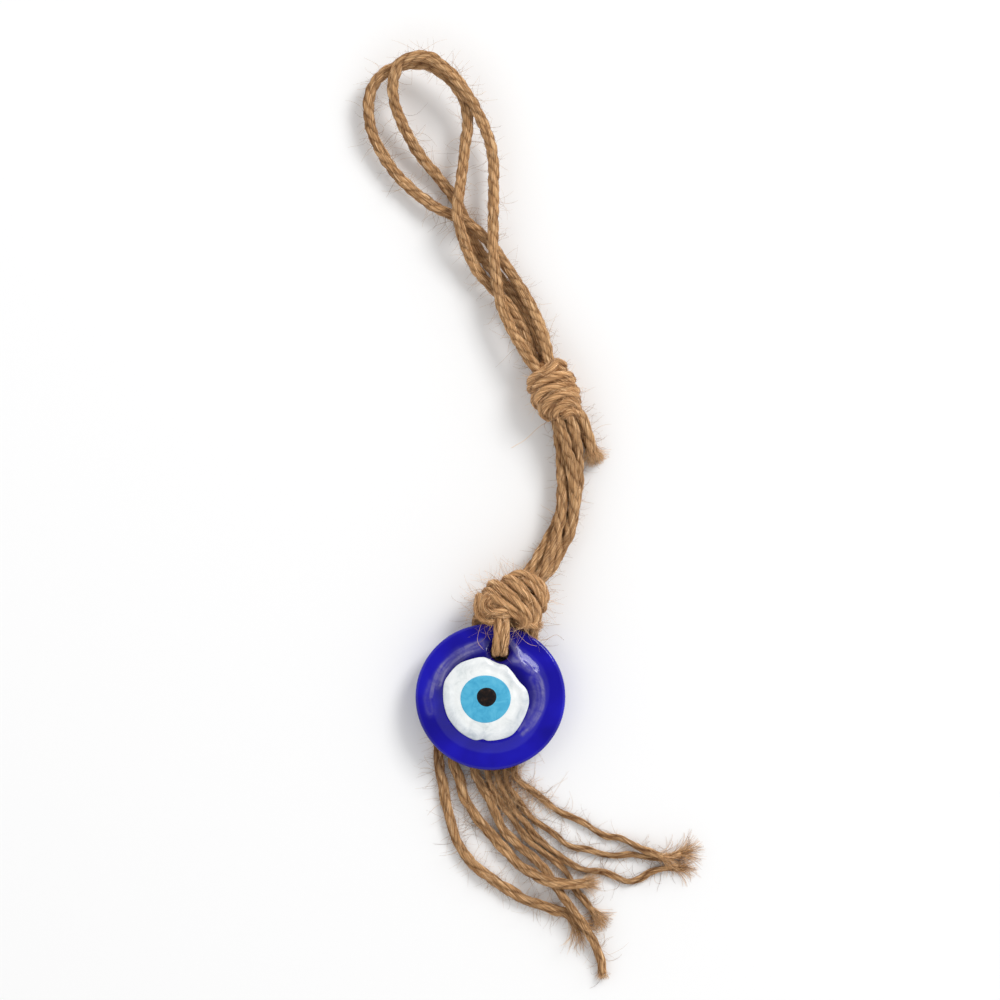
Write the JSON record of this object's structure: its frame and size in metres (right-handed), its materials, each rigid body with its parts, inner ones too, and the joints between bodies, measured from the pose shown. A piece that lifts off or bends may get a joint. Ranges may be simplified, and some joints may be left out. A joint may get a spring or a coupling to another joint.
{
  "type": "evil eye ornament",
  "caption": "Blue glass eye disc hung by a knotted, twisted jute cord with a double hanging loop above it and a loose cord tassel below it.",
  "frame": {"origin": "middle of the glass disc with its eye layers", "axes": "+Z out of the disc's face, up from the surface that the ornament lies on; +Y from the disc towards the hanging loop; +X to the right as the eye is looked at"},
  "size_m": [0.085, 0.2462, 0.0123],
  "materials": {
    "cobalt_glass": "glossy cast glass, deep cobalt blue, seen as opaque",
    "white_glass": "glossy opaque white glass",
    "sky_glass": "glossy opaque light-blue glass",
    "dark_glass": "glossy near-black glass",
    "jute": "hairy three-ply natural jute cord"
  },
  "bodies": {
    "cord": {"middle_knot": "jute", "eye_knot": "jute", "hanging_loop_cord_outer": "jute", "hanging_loop_cord_inner": "jute", "lower_cord_1": "jute", "lower_cord_2": "jute", "lower_cord_3": "jute", "lower_cord_4": "jute", "middle_knot_tail_upper": "jute", "middle_knot_tail_lower": "jute", "eye_knot_tail": "jute", "tassel_cord_1": "jute", "tassel_cord_2": "jute", "tassel_cord_3": "jute", "tassel_cord_4": "jute", "tassel_cord_5": "jute", "tassel_ply_4a": "jute", "tassel_ply_4b": "jute", "tassel_ply_5a": "jute", "tassel_ply_5b": "jute"},
    "link": {"link_cord_left": "jute", "link_cord_right": "jute"},
    "eye": {"blue_glass_disc": "cobalt_glass", "white_glass_layer": "white_glass", "light_blue_iris": "sky_glass", "dark_pupil": "dark_glass"}
  },
  "joints": [
    {"name": "eye_lift", "type": "hinge", "parent": "cord", "child": "link", "pos_m": [0.0031, 0.0199, 0.004], "axis": [-1, 0, 0], "range_deg": [0, 90]},
    {"name": "eye_turn", "type": "hinge", "parent": "link", "child": "eye", "pos_m": [0.0025, 0.0119, -0.00031], "axis": [0, 0.0262, 0.9997], "range_deg": [-12, 22]}
  ]
}
